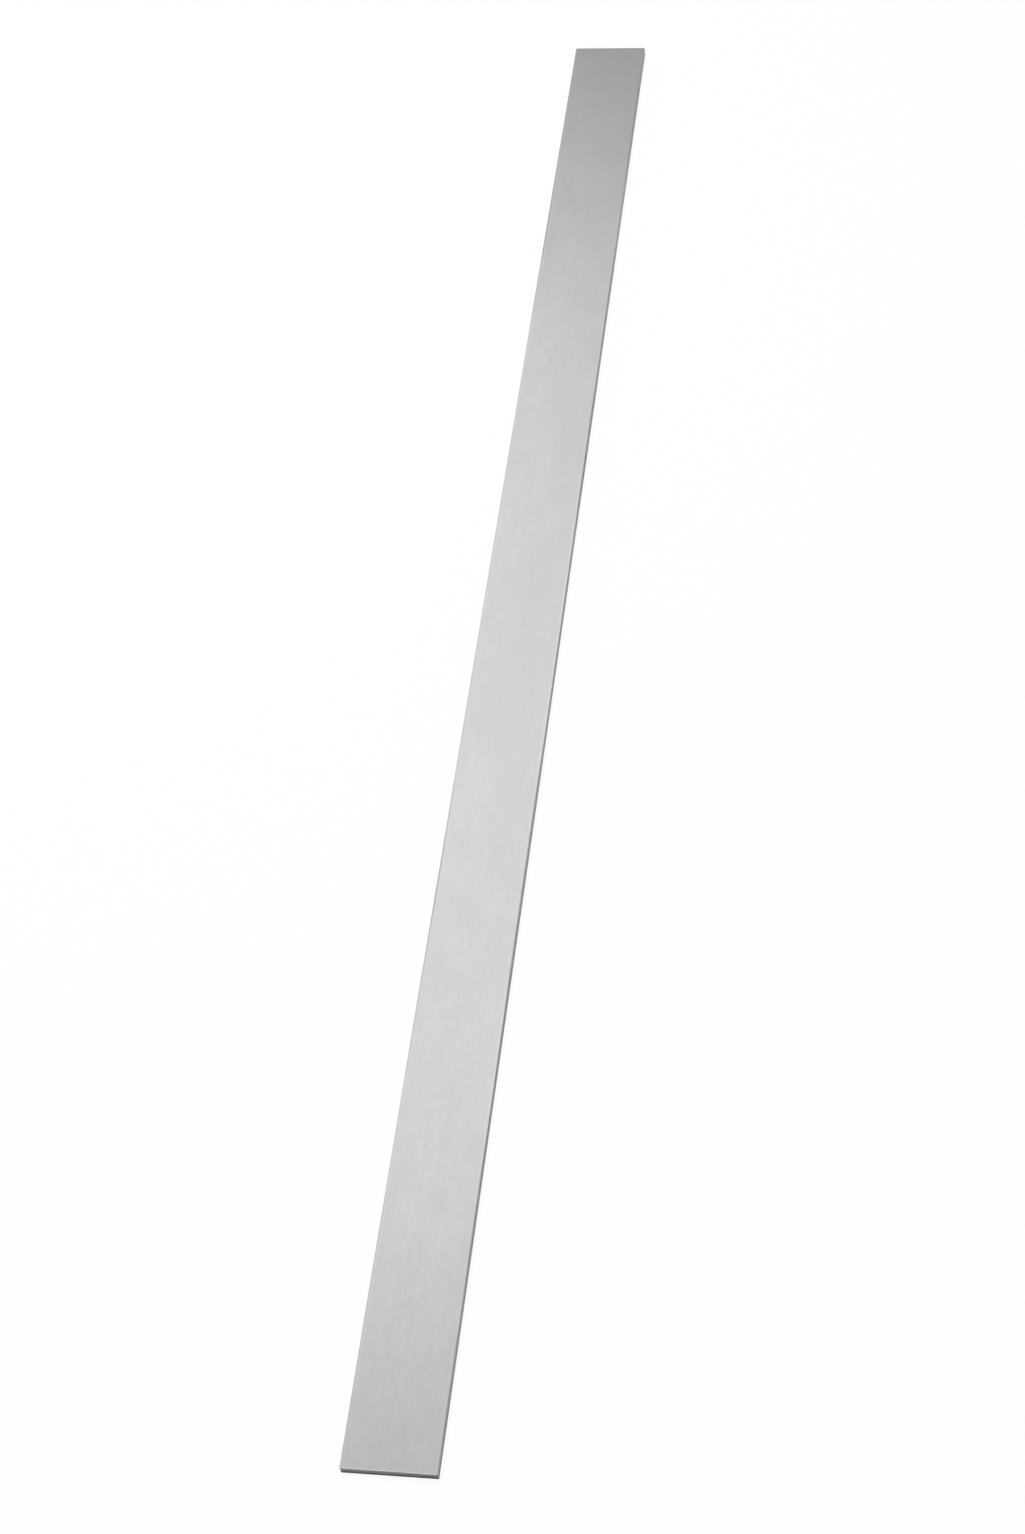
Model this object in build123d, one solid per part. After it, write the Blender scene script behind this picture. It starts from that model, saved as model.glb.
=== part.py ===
from build123d import *
import os

# Extruded aluminium flat bar, lying on its broad face.
# Length runs along X, width across Y, thickness up Z.
# The origin is the centre of the underside.

# Driving dimensions, mm
BAR_LENGTH = 1000.0
BAR_WIDTH = 45.0
BAR_THICKNESS = 5.0
LONG_EDGE_RADIUS = 0.4    # the four long arrises, left by the extrusion die
SAWN_END_CHAMFER = 0.25   # burr filed off round both sawn ends


def bar_section():
    """The bar's cross-section in the YZ plane, standing on Z = 0."""
    outline = RectangleRounded(BAR_WIDTH, BAR_THICKNESS, LONG_EDGE_RADIUS)
    return Plane.YZ * Pos(0, BAR_THICKNESS / 2) * outline


def filed_envelope():
    """A box of the bar's own size whose eight end edges are chamfered."""
    block = Pos(0, 0, BAR_THICKNESS / 2) * Box(BAR_LENGTH, BAR_WIDTH, BAR_THICKNESS)
    end_faces = [block.faces().sort_by(Axis.X)[0], block.faces().sort_by(Axis.X)[-1]]
    end_edges = [edge for face in end_faces for edge in face.edges()]
    return chamfer(end_edges, SAWN_END_CHAMFER)


def flat_bar():
    """One piece of stock: the section run to length, its sawn ends deburred."""
    stock = extrude(bar_section(), BAR_LENGTH / 2, both=True)
    return stock & filed_envelope()


os.makedirs("parts", exist_ok=True)
export_step(flat_bar(), "parts/flat_bar.step")
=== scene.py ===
import math

import bmesh
import bpy
from mathutils import Matrix, Vector, noise


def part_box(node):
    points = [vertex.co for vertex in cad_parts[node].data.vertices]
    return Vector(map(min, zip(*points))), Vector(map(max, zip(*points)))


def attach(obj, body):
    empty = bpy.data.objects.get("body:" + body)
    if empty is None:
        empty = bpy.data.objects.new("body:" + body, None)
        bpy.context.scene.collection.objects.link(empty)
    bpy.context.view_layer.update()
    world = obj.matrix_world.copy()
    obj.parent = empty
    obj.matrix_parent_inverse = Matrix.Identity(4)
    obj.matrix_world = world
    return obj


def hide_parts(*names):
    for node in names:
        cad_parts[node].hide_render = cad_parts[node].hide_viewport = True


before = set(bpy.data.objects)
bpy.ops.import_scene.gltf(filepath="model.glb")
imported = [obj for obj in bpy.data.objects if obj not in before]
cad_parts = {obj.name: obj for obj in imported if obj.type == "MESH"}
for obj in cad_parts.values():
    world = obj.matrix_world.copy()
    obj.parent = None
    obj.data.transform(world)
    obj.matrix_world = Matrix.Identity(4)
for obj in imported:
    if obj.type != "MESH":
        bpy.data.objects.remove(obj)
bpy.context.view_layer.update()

MM = 0.001

# The bar's real sizes, metres. X runs along it, Y across it and Z through its thickness.
BAR_LOW, BAR_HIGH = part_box("flat_bar")
LENGTH, WIDTH, THICKNESS = BAR_HIGH - BAR_LOW
LONG_EDGE_RADIUS = 0.4 * MM
FILED_CHAMFER = 0.25 * MM
FILED_CHAMFER_WANDER = 0.06 * MM

# How finely the bar is meshed
ARRIS_STEPS = 8
BROAD_FACE_STEPS = 90
NARROW_EDGE_STEPS = 48
LENGTH_STEPS = 60
SUPPORT_WIDTH = 0.08 * MM     # a narrow strip that keeps the flats' shading flat up to the arris
SHARP_ANGLE = math.radians(30)    # faces that meet at more than this are shaded with a sharp edge

# The circular saw that cut both ends
BLADE_RADIUS = 125 * MM
BLADE_OFFSET = 14 * MM        # how far the blade's axis lay to one side of the bar's centreline
TOOTH_PITCH = 0.42 * MM       # the bar's advance between two tooth marks
TOOTH_DEPTH = 0.012 * MM
TOOTH_DEPTH_SPREAD = 0.45     # how far the marks' depth varies about its middle
TOOTH_WANDER = 0.35           # how far the marks wander, in pitches
SAW_WANDER = 0.010 * MM       # and how far the whole cut does

# The camera looks down on the bar from beyond its near end
LENS_MM = 69.36
CAMERA_PLACE = Vector((-1.0508, -0.2480, 1.2227))
CAMERA_AIM = Vector((-0.0944, -0.0066, 0.0))
CAMERA_ROLL = math.radians(-9.31)

# How much of the light the metal reflects
SATIN_DARK = 0.704            # the broad faces in their darkest brush marks
SATIN_BRIGHT = 0.814          # and in their brightest
ARRIS_SHADE_AND_STRIP_METAL = 0.58             # the arrises, darkened as painted shade, and the darker strips just inside the ends
ALLOY_WARMTH = 0.005          # how much less blue than red the bare metal reflects
ALLOY_BLUSH = 0.0034          # and how much less green
THIN_FILM = 0.0               # its warmth where the mill's film of oil is thinnest
THICK_FILM = 0.013            # and where it is thickest

# The values that the middle of a noise texture's range fills
NOISE_LOW = 0.3
NOISE_HIGH = 0.7

# The floor
FLOOR_SIZE = 200.0
FLOOR_DROP = 0.02 * MM
FLOOR_SHADE = 0.8
FLOOR_SHADE_IN_METAL = 0.38
FLOOR_WHITE_SHARE = 0.92      # how far the floor shows as plain white behind the bar
FLOOR_WHITE_IN_METAL = 0.02

# The lamps and the light all round, where 1 is white
LAMP_DISTANCE = 2.61
KEY_LIGHT = 0.669
FLOOR_KEY_LIGHT = 12.0
CARD_LIGHT = 0.5
NEAR_CARD_LIGHT = 0.48
HORIZON_LIGHT = 0.85
OVERHEAD_LIGHT = 0.277
GLOW_FULL = 0.15              # the glow above the horizon is full up to this sine of elevation
GLOW_TOP = 0.45               # and ends at this one
WORLD_WHITE_IN_METAL = 0.05


# ---------------------------------------------------------------- shape

def spaced(low, high, steps):
    """Even places from low to high, with a narrow support strip at both ends."""
    inner_low = low + SUPPORT_WIDTH
    inner_high = high - SUPPORT_WIDTH
    inner = [inner_low + (inner_high - inner_low) * i / steps for i in range(steps + 1)]
    return [low] + inner + [high]


def section_columns():
    """The section cut into upright columns: (y, lowest z, highest z) for each."""
    half_flat = WIDTH / 2 - LONG_EDGE_RADIUS
    quarter = math.pi / 2
    turns = [quarter * i / ARRIS_STEPS for i in range(ARRIS_STEPS)]
    rise = [(math.cos(turn), 1 - math.sin(turn)) for turn in turns]
    left = [(-half_flat - LONG_EDGE_RADIUS * out, LONG_EDGE_RADIUS * up) for out, up in rise]
    flat = [(y, 0.0) for y in spaced(-half_flat, half_flat, BROAD_FACE_STEPS)]
    right = [(-y, z) for y, z in reversed(left)]
    return [(y, z, THICKNESS - z) for y, z in left + flat + right]


def row_shares():
    """How far up a column each row lies, from 0 to 1."""
    flat = THICKNESS - 2 * LONG_EDGE_RADIUS
    return [z / flat for z in spaced(0.0, flat, NARROW_EDGE_STEPS)]


def section_grid():
    """The whole section as a grid of (y, z) points, by column and then by row."""
    shares = row_shares()
    return [
        [(y, low + (high - low) * share) for share in shares]
        for y, low, high in section_columns()
    ]


def rim_cells(columns, rows):
    """The grid's outline, anticlockwise from the middle of one arris, as (column, row)."""
    last_column, last_row = columns - 1, rows - 1
    below = [(c, 0) for c in range(last_column)]
    right = [(last_column, r) for r in range(last_row)]
    above = [(c, last_row) for c in range(last_column, 0, -1)]
    left = [(0, r) for r in range(last_row, 0, -1)]
    start = ARRIS_STEPS // 2
    ring = below + right + above + left
    return ring[start:] + ring[:start]


def filed_width(y, z, side):
    """The width of the filed chamfer, which wanders a little along the end's rim."""
    place = Vector((side * 7.0, y / (6 * MM), z / (3 * MM)))
    return FILED_CHAMFER + FILED_CHAMFER_WANDER * noise.noise(place)


def inset(y, z, distance):
    """A rim point moved inwards, square to the rim."""
    core_y = max(-WIDTH / 2 + LONG_EDGE_RADIUS, min(y, WIDTH / 2 - LONG_EDGE_RADIUS))
    core_z = max(LONG_EDGE_RADIUS, min(z, THICKNESS - LONG_EDGE_RADIUS))
    inwards = Vector((core_y - y, core_z - z)).normalized()
    return y + inwards.x * distance, z + inwards.y * distance


def saw_depth(y, z, side):
    """How far the saw left the end below its highest ridge at this point."""
    from_axis = math.hypot(y - side * BLADE_OFFSET, z - BLADE_RADIUS)
    wander = noise.noise(Vector((y / (9 * MM), z / (2 * MM), side * 3.0)))
    mark = from_axis / TOOTH_PITCH + TOOTH_WANDER * wander
    variety = noise.noise(Vector((mark * 0.31, y / (30 * MM), side * 5.0)))
    strength = 1 - TOOTH_DEPTH_SPREAD + TOOTH_DEPTH_SPREAD * variety
    ridge = 0.5 + 0.5 * math.sin(2 * math.pi * mark)
    return TOOTH_DEPTH * strength * ridge + SAW_WANDER * (0.5 + 0.5 * wander)


def end_grid(side):
    """One sawn end's points, inside its filed chamfer."""
    shrink_y = 1 - 2 * FILED_CHAMFER / WIDTH
    shrink_z = 1 - 2 * FILED_CHAMFER / THICKNESS
    points = []
    for c, column in enumerate(GRID):
        line = []
        for r, (full_y, full_z) in enumerate(column):
            if (c, r) in RIM:
                y, z = inset(full_y, full_z, filed_width(full_y, full_z, side))
            else:
                y = full_y * shrink_y
                z = THICKNESS / 2 + (full_z - THICKNESS / 2) * shrink_z
            line.append(Vector((side * (LENGTH / 2 - saw_depth(y, z, side)), y, z)))
        points.append(line)
    return points


def stations():
    """Where the rings of the long faces stand along the bar, without the two end rings."""
    reach = LENGTH / 2 - 2 * FILED_CHAMFER
    return [-reach + 2 * reach * i / LENGTH_STEPS for i in range(LENGTH_STEPS + 1)]


GRID = section_grid()
RIM_ORDER = rim_cells(len(GRID), len(GRID[0]))
RIM = set(RIM_ORDER)

# The bake's map: the four long faces lie as strips under each other, the two ends side by side
MAP_NAME = "OFBake"
MAP_EDGE = 0.006
STRIPS = {
    "underside": (0.006, 0.400),
    "edge_plus_y": (0.410, 0.465),
    "top": (0.475, 0.870),
    "edge_minus_y": (0.880, 0.935),
}
END_STRIP = (0.945, 0.994)
END_REACH = {-1: (0.006, 0.494), 1: (0.506, 0.994)}
FACES_IN_ORDER = ["underside", "edge_plus_y", "top", "edge_minus_y"]
SLOT_OF = {"underside": 0, "edge_plus_y": 1, "top": 0, "edge_minus_y": 1, "end": 2, "chamfer": 3}


def face_starts():
    """Where each long face starts on the rim: at the middle of an arris."""
    last_column, last_row = len(GRID) - 1, len(GRID[0]) - 1
    middle = ARRIS_STEPS // 2
    corners = [
        (middle, 0),
        (last_column - middle, 0),
        (last_column - middle, last_row),
        (middle, last_row),
    ]
    return [RIM_ORDER.index(corner) for corner in corners] + [len(RIM_ORDER)]


def rim_runs():
    """The distance round the rim to each of its points, and last the whole way round."""
    runs = [0.0]
    places = [Vector(GRID[c][r]) for c, r in RIM_ORDER]
    for here, there in zip(places, places[1:] + places[:1]):
        runs.append(runs[-1] + (there - here).length)
    return runs


def share_of(value, low, high):
    """How far value lies between low and high, from 0 to 1."""
    return (value - low) / (high - low)


def between(span, share):
    """The value that lies this far along a (low, high) span."""
    return span[0] + (span[1] - span[0]) * share


def long_face_place(x, run, face, first_run, last_run):
    """The place on the map of a point of a long face."""
    across = between(STRIPS[face], share_of(run, first_run, last_run))
    along = between((MAP_EDGE, 1 - MAP_EDGE), share_of(x, -LENGTH / 2, LENGTH / 2))
    return along, across


def end_place(y, z, side):
    """The place on the map of a point of a sawn end or its chamfer."""
    across = between(END_REACH[side], share_of(y, -WIDTH / 2, WIDTH / 2))
    return across, between(END_STRIP, share_of(z, 0.0, THICKNESS))


def add_face(mesh, map_layer, corners, places, slot):
    """One face, with each corner's place on the map."""
    face = mesh.faces.new(corners)
    face.smooth = True
    face.material_index = slot
    for loop, place in zip(face.loops, places):
        loop[map_layer].uv = place


def add_long_faces(mesh, map_layer, rings):
    """The four long faces, between rings of points along the bar."""
    runs = rim_runs()
    starts = face_starts()
    count = len(RIM_ORDER)
    for face, first, last in zip(FACES_IN_ORDER, starts, starts[1:]):
        for here in range(first, last):
            there = here + 1
            for near, far in zip(range(len(rings)), range(1, len(rings))):
                corners = [
                    rings[near][here],
                    rings[near][there % count],
                    rings[far][there % count],
                    rings[far][here],
                ]
                places = [
                    long_face_place(corner.co.x, runs[at], face, runs[first], runs[last])
                    for corner, at in zip(corners, (here, there, there, here))
                ]
                add_face(mesh, map_layer, corners, places, SLOT_OF[face])


def add_end(mesh, map_layer, side, outer_ring):
    """One sawn end: its face and the filed chamfer round it."""
    points = end_grid(side)
    verts = [[mesh.verts.new(point) for point in line] for line in points]

    def face(corners, part):
        places = [end_place(corner.co.y, corner.co.z, side) for corner in corners]
        if side < 0:
            corners, places = corners[::-1], places[::-1]
        add_face(mesh, map_layer, corners, places, SLOT_OF[part])

    for left, right in zip(verts, verts[1:]):
        for low in range(len(left) - 1):
            face([left[low], right[low], right[low + 1], left[low + 1]], "end")
    inner_ring = [verts[c][r] for c, r in RIM_ORDER]
    count = len(inner_ring)
    for here in range(count):
        there = (here + 1) % count
        face([outer_ring[here], outer_ring[there], inner_ring[there], inner_ring[here]], "chamfer")


def add_ring(mesh, x_of):
    """A ring of points round the section; x_of gives each point's place along the bar."""
    ring = []
    for c, r in RIM_ORDER:
        y, z = GRID[c][r]
        ring.append(mesh.verts.new((x_of(y, z), y, z)))
    return ring


def square_across(x):
    """For add_ring: a ring that stands square across the bar."""
    return lambda y, z: x


def end_of_long_faces(side):
    """For add_ring: the ring where the long faces end, at the filed chamfer."""
    return lambda y, z: side * (LENGTH / 2 - filed_width(y, z, side))


def bar_mesh():
    """The bar as one closed mesh."""
    mesh = bmesh.new()
    map_layer = mesh.loops.layers.uv.new(MAP_NAME)
    rings = [add_ring(mesh, end_of_long_faces(-1))]
    for x in stations():
        rings.append(add_ring(mesh, square_across(x)))
    rings.append(add_ring(mesh, end_of_long_faces(1)))
    add_long_faces(mesh, map_layer, rings)
    add_end(mesh, map_layer, -1, rings[0])
    add_end(mesh, map_layer, 1, rings[-1])
    data = bpy.data.meshes.new("flat_bar_dressed")
    mesh.to_mesh(data)
    mesh.free()
    data.set_sharp_from_angle(angle=SHARP_ANGLE)
    return data


# ------------------------------------------------------------ materials

def add_node(tree, kind, inputs=None, **settings):
    """A shader node with its settings and its unlinked inputs."""
    node = tree.nodes.new("ShaderNode" + kind)
    for name, value in settings.items():
        setattr(node, name, value)
    for name, value in (inputs or {}).items():
        node.inputs[name].default_value = value
    return node


def metal(name, anisotropy):
    """A new metal: its material, node tree and shader. Its gloss spreads across the bar."""
    material = bpy.data.materials.new(name)
    material.use_nodes = True
    tree = material.node_tree
    tree.nodes.clear()
    shader = add_node(tree, "BsdfPrincipled", {"Metallic": 1.0, "Anisotropic": anisotropy})
    round_the_bar = add_node(tree, "Tangent", direction_type="RADIAL", axis="X")
    tree.links.new(round_the_bar.outputs["Tangent"], shader.inputs["Tangent"])
    output = add_node(tree, "OutputMaterial")
    tree.links.new(shader.outputs["BSDF"], output.inputs["Surface"])
    return material, tree, shader


def grain(tree, length, width, detail, shift):
    """Noise whose grains are this long along the bar and this wide; shift picks another part of it."""
    place = add_node(tree, "TexCoord")
    scaled = add_node(
        tree,
        "Mapping",
        {"Scale": (1 / length, 1 / width, 1 / width), "Location": (shift, shift, shift)},
    )
    pattern = add_node(tree, "TexNoise", {"Scale": 1.0, "Detail": detail})
    tree.links.new(place.outputs["Object"], scaled.inputs["Vector"])
    tree.links.new(scaled.outputs["Vector"], pattern.inputs["Vector"])
    return pattern.outputs["Fac"]


def ranged(tree, value, low, high, from_low=NOISE_LOW, from_high=NOISE_HIGH, smooth=False):
    """A value brought from its range, the one that noise fills if none is given, to low..high."""
    node = add_node(
        tree,
        "MapRange",
        {"From Min": from_low, "From Max": from_high, "To Min": low, "To Max": high},
        interpolation_type="SMOOTHSTEP" if smooth else "LINEAR",
    )
    tree.links.new(value, node.inputs["Value"])
    return node.outputs["Result"]


def combined(tree, operation, first, second):
    """Two values through a Math node; either may be a plain number."""
    node = add_node(tree, "Math", operation=operation)
    for socket, value in zip(node.inputs, (first, second)):
        if isinstance(value, (int, float)):
            socket.default_value = value
        else:
            tree.links.new(value, socket)
    return node.outputs["Value"]


def summed(tree, values):
    """The sum of several values."""
    total = values[0]
    for value in values[1:]:
        total = combined(tree, "ADD", total, value)
    return total


def alloy(brightness, warmth=ALLOY_WARMTH):
    """Bare aluminium of this brightness, which reflects less blue than red by its warmth."""
    return (brightness, brightness - ALLOY_BLUSH, brightness - warmth)


def tinted(tree, share, first, second):
    """A colour between two others, each an RGB triple or a node's output."""
    node = add_node(tree, "Mix", data_type="RGBA")
    sockets = [socket for socket in node.inputs if socket.type == "RGBA"]
    for socket, colour in zip(sockets, (first, second)):
        if isinstance(colour, tuple):
            socket.default_value = (*colour, 1)
        else:
            tree.links.new(colour, socket)
    tree.links.new(share, node.inputs["Factor"])
    return next(socket for socket in node.outputs if socket.type == "RGBA")


def coordinate(tree, axis):
    """One of the bar's own coordinates, metres."""
    place = add_node(tree, "TexCoord")
    axes = add_node(tree, "SeparateXYZ")
    tree.links.new(place.outputs["Object"], axes.inputs["Vector"])
    return axes.outputs[axis]


def from_outside(tree, axis, middle, half):
    """The distance in from the nearer of the bar's two faces square to this axis, metres."""
    offset = combined(tree, "SUBTRACT", coordinate(tree, axis), middle)
    return combined(tree, "SUBTRACT", half, combined(tree, "ABSOLUTE", offset, 0.0))


def arris_painted_shade(tree, depth):
    """From 0 on the flat to 1 on the rounded long arris, which is darkened as painted shade, unevenly so.
    """
    wander = grain(tree, 140 * MM, 6 * MM, detail=3.0, shift=65.0)
    wavy = combined(tree, "ADD", depth, ranged(tree, wander, -0.45 * MM, 0.45 * MM))
    return ranged(tree, wavy, 1.0, 0.0, 0.15 * MM, 0.5 * MM, smooth=True)


def painted_highlight_line(tree, depth):
    """A faint bright line just inside the long arrises: a painted highlight, broken up unevenly."""
    highlight_breakup = grain(tree, 250 * MM, 30 * MM, detail=1.0, shift=122.0)
    near_arris = ranged(tree, depth, 1.0, 0.0, 1.2 * MM, 1.7 * MM, smooth=True)
    return combined(tree, "MULTIPLY", near_arris, ranged(tree, highlight_breakup, 0.0, 0.75, 0.42, 0.70))


def darker_end_strips(tree):
    """Above 0 in two strips just inside the ends, which come out darker: faint at -X and stronger at +X.
    """
    along = coordinate(tree, "X")
    low, high = -LENGTH / 2, LENGTH / 2
    faint = ranged(tree, along, 0.15, 0.0, low + 0.4 * MM, low + 1.2 * MM, smooth=True)
    plain = ranged(tree, along, 0.0, 0.7, high - 2.0 * MM, high - 1.0 * MM, smooth=True)
    return combined(tree, "ADD", faint, plain)


def dressed(tree, shader, colour, roughness, height):
    """Links a metal's colour, roughness and relief, in metres, to its shader."""
    tree.links.new(colour, shader.inputs["Base Color"])
    tree.links.new(roughness, shader.inputs["Roughness"])
    relief = add_node(tree, "Bump", {"Strength": 1.0, "Distance": 1.0})
    tree.links.new(height, relief.inputs["Height"])
    tree.links.new(relief.outputs["Normal"], shader.inputs["Normal"])


def brushing(tree, clouds):
    """The brush marks, mottle and clouds as a tone about zero, stronger in places."""
    crisp_marks = grain(tree, 24 * MM, 0.4 * MM, detail=2.0, shift=77.0)
    short_marks = grain(tree, 9 * MM, 1.3 * MM, detail=1.5, shift=0.0)
    long_marks = grain(tree, 34 * MM, 1.2 * MM, detail=1.0, shift=31.0)
    mottle = grain(tree, 5 * MM, 3.2 * MM, detail=2.5, shift=21.0)
    places = grain(tree, 350 * MM, 50 * MM, detail=1.0, shift=53.5)
    marks = summed(tree, [
        ranged(tree, crisp_marks, -0.10, 0.10),
        ranged(tree, short_marks, -0.06, 0.06),
        ranged(tree, long_marks, -0.05, 0.05),
        ranged(tree, mottle, -0.10, 0.10),
        ranged(tree, clouds, -0.07, 0.07),
    ])
    return combined(tree, "MULTIPLY", marks, ranged(tree, places, 1.0, 1.75, 0.45, 0.7))


def mill_face():
    """The broad faces: satin and brushed, with draw lines, handled places, a film of oil, painted shade on
    the arrises and a painted highlight line just inside them.
    """
    material, tree, shader = metal("mill_face", anisotropy=0.4)
    handling = grain(tree, 340 * MM, 80 * MM, detail=1.0, shift=53.9)
    clouds = grain(tree, 26 * MM, 16 * MM, detail=2.0, shift=4.0)
    hairlines = grain(tree, 5 * MM, 0.3 * MM, detail=2.0, shift=9.0)
    draw_lines = grain(tree, 170 * MM, 0.7 * MM, detail=1.0, shift=13.0)
    depth = from_outside(tree, "Y", 0.0, WIDTH / 2)
    # Painted shade on the long arrises, and darker strips just inside the two ends
    arris_shade_and_end_strips = combined(tree, "MAXIMUM", arris_painted_shade(tree, depth), darker_end_strips(tree))
    tone = summed(tree, [
        0.5,
        brushing(tree, clouds),
        ranged(tree, handling, -0.24, 0.24),
        ranged(tree, draw_lines, 0.0, -0.15, 0.62, 0.76),
        # A painted highlight line just inside the long arrises
        painted_highlight_line(tree, depth),
    ])
    oil = grain(tree, 220 * MM, 60 * MM, detail=1.5, shift=16.5)
    film = ranged(tree, oil, 0.0, 1.0, 0.33, 0.70)
    dark = tinted(tree, film, alloy(SATIN_DARK, THIN_FILM), alloy(SATIN_DARK, THICK_FILM))
    bright = tinted(tree, film, alloy(SATIN_BRIGHT, THIN_FILM), alloy(SATIN_BRIGHT, THICK_FILM))
    satin = tinted(tree, tone, dark, bright)
    roughness = summed(tree, [
        ranged(tree, clouds, 0.298, 0.284),
        ranged(tree, hairlines, 0.005, -0.005),
        combined(tree, "MULTIPLY", arris_shade_and_end_strips, 0.08),
    ])
    height = ranged(tree, hairlines, 0.0, 0.0008 * MM)
    dressed(tree, shader, tinted(tree, arris_shade_and_end_strips, satin, alloy(ARRIS_SHADE_AND_STRIP_METAL)), roughness, height)
    return material


def narrow_edge():
    """The narrow edges: the same metal, darker than the broad faces, partly real dullness and partly
    painted shade, with long fine draw lines.
    """
    material, tree, shader = metal("narrow_edge", anisotropy=0.35)
    lines = grain(tree, 60 * MM, 0.25 * MM, detail=3.0, shift=2.0)
    patches = grain(tree, 160 * MM, 5 * MM, detail=2.0, shift=17.0)
    # Painted shade along the narrow edge's arrises
    arris = arris_painted_shade(tree, from_outside(tree, "Z", THICKNESS / 2, THICKNESS / 2))
    patchy = ranged(tree, patches, 0.0, 0.7, 0.37, 0.56)
    tone = combined(tree, "ADD", ranged(tree, lines, 0.0, 0.3), patchy)
    # The darker colour range here is partly real dullness and partly painted shade
    drawn_and_shaded = tinted(tree, tone, alloy(0.54), alloy(0.82))
    colour = tinted(tree, arris, drawn_and_shaded, alloy(ARRIS_SHADE_AND_STRIP_METAL))
    height = ranged(tree, lines, 0.0, 0.0012 * MM)
    dressed(tree, shader, colour, ranged(tree, lines, 0.46, 0.38), height)
    return material


def sawn_end():
    """The sawn ends: metal torn by the saw's teeth, lighter towards the top and darker towards the bottom
    as painted contact shade.
    """
    material, tree, shader = metal("sawn_end", anisotropy=0.0)
    torn = grain(tree, 0.5 * MM, 0.35 * MM, detail=4.0, shift=6.0)
    # Painted contact shade: the end's colour darkens towards the bottom
    painted_contact_shade = ranged(tree, coordinate(tree, "Z"), 0.0, 0.7, 0.15 * THICKNESS, 0.95 * THICKNESS)
    tone = combined(tree, "ADD", painted_contact_shade, ranged(tree, torn, -0.1, 0.2))
    colour = tinted(tree, tone, alloy(0.31), alloy(0.87))
    height = ranged(tree, torn, 0.0, 0.0016 * MM)
    dressed(tree, shader, colour, ranged(tree, torn, 0.46, 0.38), height)
    return material


def filed_chamfer():
    """The chamfer filed round each sawn end: bright bare metal with the file's marks."""
    material, tree, shader = metal("filed_chamfer", anisotropy=0.2)
    marks = grain(tree, 0.8 * MM, 0.12 * MM, detail=2.0, shift=11.0)
    colour = tinted(tree, ranged(tree, marks, 0.0, 1.0), alloy(0.78), alloy(0.88))
    height = ranged(tree, marks, 0.0, 0.0008 * MM)
    dressed(tree, shader, colour, ranged(tree, marks, 0.36, 0.28), height)
    return material


def make_bar():
    """The dressed bar, which stands for the plain one."""
    data = bar_mesh()
    for material in (mill_face(), narrow_edge(), sawn_end(), filed_chamfer()):
        data.materials.append(material)
    bar = bpy.data.objects.new("flat_bar_dressed", data)
    bpy.context.scene.collection.objects.link(bar)
    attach(bar, "root")
    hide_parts("flat_bar")
    return bar


# ---------------------------------------------------------------- stage

def white_for_camera(tree, shares, plain, white):
    """Mixes a white shader over the plain one, by a share for each kind of ray."""
    rays = add_node(tree, "LightPath")
    total = 0.0
    for name, share in shares.items():
        part = combined(tree, "MULTIPLY", rays.outputs[name], share)
        total = combined(tree, "ADD", part, total)
    mix = add_node(tree, "MixShader")
    tree.links.new(total, mix.inputs["Fac"])
    tree.links.new(plain, mix.inputs[1])
    tree.links.new(white, mix.inputs[2])
    return mix.outputs["Shader"]


def floor_material():
    """A pale floor that shows almost white, keeps the bar's shadow and looks greyer in the metal."""
    material = bpy.data.materials.new("floor")
    material.use_nodes = True
    tree = material.node_tree
    tree.nodes.clear()
    rays = add_node(tree, "LightPath")
    pale = add_node(tree, "BsdfDiffuse")
    in_metal = rays.outputs["Is Glossy Ray"]
    shade = ranged(tree, in_metal, FLOOR_SHADE, FLOOR_SHADE_IN_METAL, from_low=0.0, from_high=1.0)
    tree.links.new(shade, pale.inputs["Color"])
    white = add_node(tree, "Emission", {"Color": (1, 1, 1, 1), "Strength": 1.0})
    shares = {
        "Is Camera Ray": FLOOR_WHITE_SHARE,
        "Is Glossy Ray": FLOOR_WHITE_IN_METAL,
        "Is Transmission Ray": FLOOR_WHITE_SHARE,
    }
    mixed = white_for_camera(tree, shares, pale.outputs[0], white.outputs[0])
    output = add_node(tree, "OutputMaterial")
    tree.links.new(mixed, output.inputs["Surface"])
    return material


def make_floor():
    """The floor, just below the bar and wide enough to reach the horizon."""
    half = FLOOR_SIZE / 2
    data = bpy.data.meshes.new("floor")
    corners = [(-half, -half, 0), (half, -half, 0), (half, half, 0), (-half, half, 0)]
    data.from_pydata(corners, [], [(0, 1, 2, 3)])
    data.materials.append(floor_material())
    floor = bpy.data.objects.new("floor", data)
    floor.location.z = -FLOOR_DROP
    bpy.context.scene.collection.objects.link(floor)


def make_world():
    """Grey light all round, brighter towards the horizon, and white behind for the camera."""
    world = bpy.data.worlds.new("studio")
    world.use_nodes = True
    tree = world.node_tree
    tree.nodes.clear()
    outlook = add_node(tree, "TexCoord")
    axes = add_node(tree, "SeparateXYZ")
    tree.links.new(outlook.outputs["Generated"], axes.inputs["Vector"])
    glow = ranged(tree, axes.outputs["Z"], HORIZON_LIGHT, OVERHEAD_LIGHT, GLOW_FULL, GLOW_TOP, smooth=True)
    plain = add_node(tree, "Background", {"Color": (1, 1, 1, 1)})
    tree.links.new(glow, plain.inputs["Strength"])
    white = add_node(tree, "Background", {"Color": (1, 1, 1, 1), "Strength": 1.0})
    shares = {
        "Is Camera Ray": 1.0,
        "Is Glossy Ray": WORLD_WHITE_IN_METAL,
        "Is Transmission Ray": 1.0,
    }
    mixed = white_for_camera(tree, shares, plain.outputs[0], white.outputs[0])
    output = add_node(tree, "OutputWorld")
    tree.links.new(mixed, output.inputs["Surface"])
    bpy.context.scene.world = world


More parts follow.
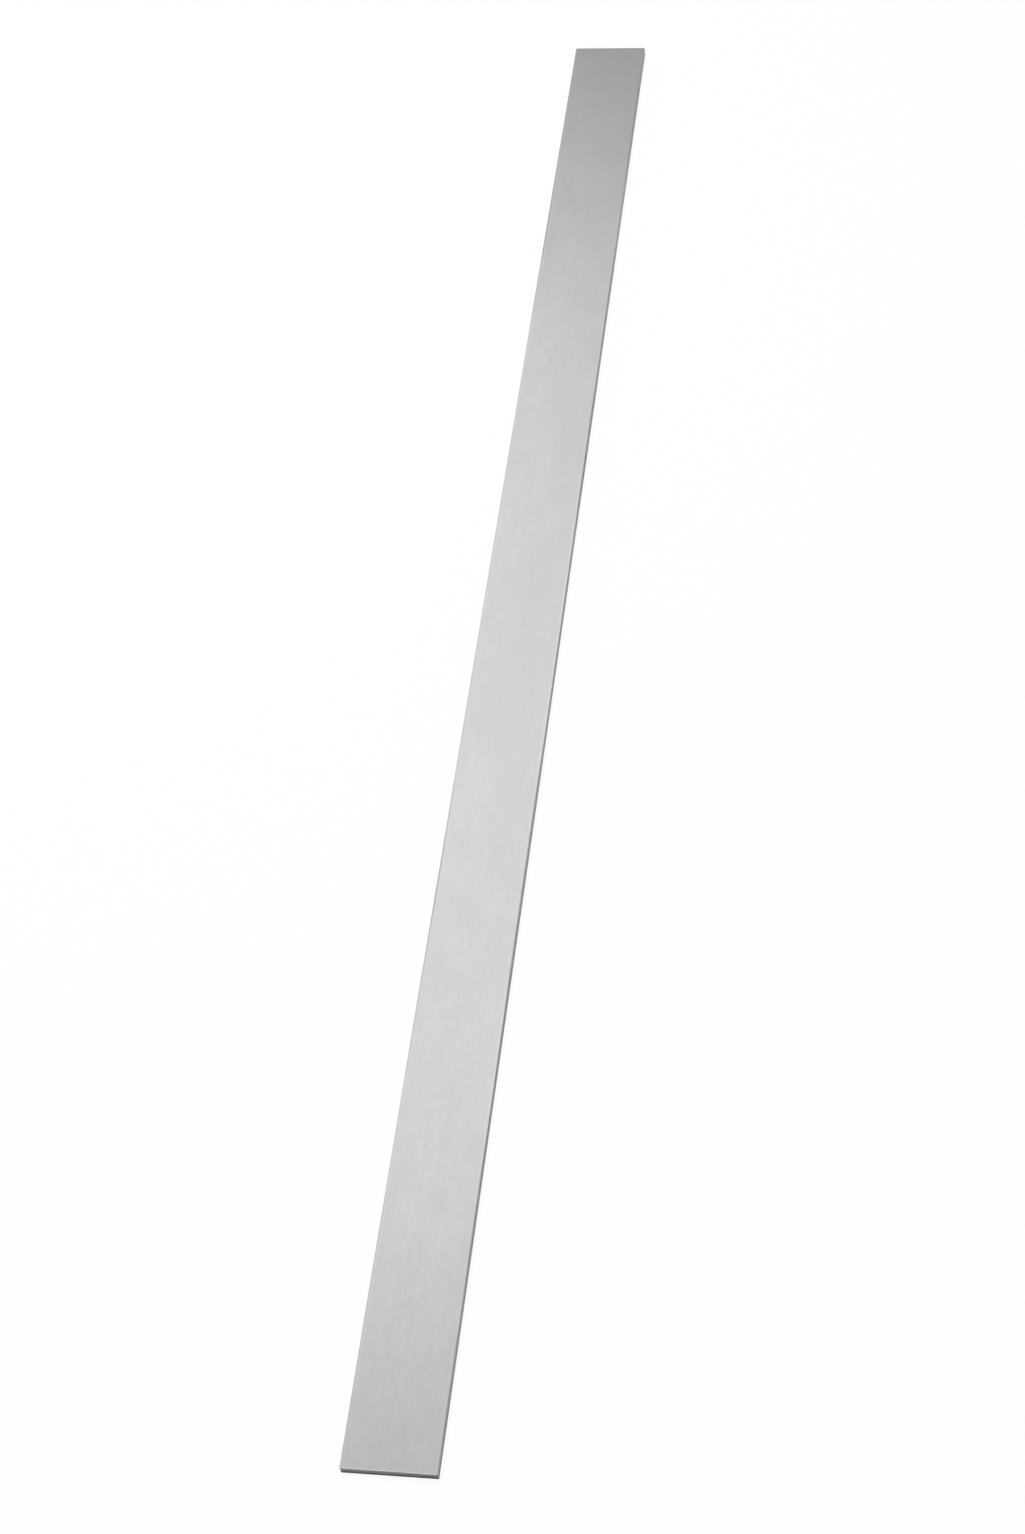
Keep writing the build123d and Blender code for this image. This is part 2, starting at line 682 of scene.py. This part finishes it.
def softbox(name, azimuth, elevation, width, height, radiance, on_floor=False, on_metal=True):
    """A soft lamp aimed at the bar, in degrees: azimuth turns from +X towards +Y."""
    turn, lift = math.radians(azimuth), math.radians(elevation)
    level = math.cos(lift)
    towards = Vector((math.cos(turn) * level, math.sin(turn) * level, math.sin(lift)))
    lamp = bpy.data.lights.new(name, "AREA")
    lamp.shape = "RECTANGLE"
    lamp.size, lamp.size_y = width, height
    lamp.energy = radiance * math.pi * width * height
    softlight = bpy.data.objects.new(name, lamp)
    softlight.location = towards * LAMP_DISTANCE
    softlight.rotation_euler = towards.to_track_quat("Z", "Y").to_euler()
    softlight.visible_camera = False
    softlight.visible_diffuse = on_floor
    softlight.visible_glossy = on_metal
    bpy.context.scene.collection.objects.link(softlight)


def make_lamps():
    """The metal's key lamp beyond the far end, one high over the floor, and cards for the metal."""
    softbox("key", azimuth=33.2, elevation=53.15, width=2.14, height=1.67, radiance=KEY_LIGHT)
    softbox(
        "floor_key",
        azimuth=50,
        elevation=75,
        width=1.3,
        height=1.3,
        radiance=FLOOR_KEY_LIGHT,
        on_floor=True,
        on_metal=False,
    )
    for azimuth in (123, 213, 303):
        softbox(f"card_{azimuth}", azimuth, elevation=50, width=2.0, height=1.6, radiance=CARD_LIGHT)
    softbox("card_overhead", azimuth=0, elevation=90, width=0.9, height=0.9, radiance=CARD_LIGHT)
    softbox("card_near_end", azimuth=168, elevation=24, width=2.0, height=1.2, radiance=NEAR_CARD_LIGHT)


def make_camera():
    """The camera that looks down on the bar, turned a little about its own line of sight."""
    data = bpy.data.cameras.new("camera")
    data.lens = LENS_MM
    camera = bpy.data.objects.new("camera", data)
    turn = (CAMERA_AIM - CAMERA_PLACE).to_track_quat("-Z", "Y").to_matrix().to_4x4()
    roll = Matrix.Rotation(CAMERA_ROLL, 4, "Z")
    camera.matrix_world = Matrix.Translation(CAMERA_PLACE) @ turn @ roll
    bpy.context.scene.collection.objects.link(camera)
    bpy.context.scene.camera = camera


bpy.context.scene.view_settings.view_transform = "Standard"
make_bar()
make_floor()
make_world()
make_lamps()
make_camera()
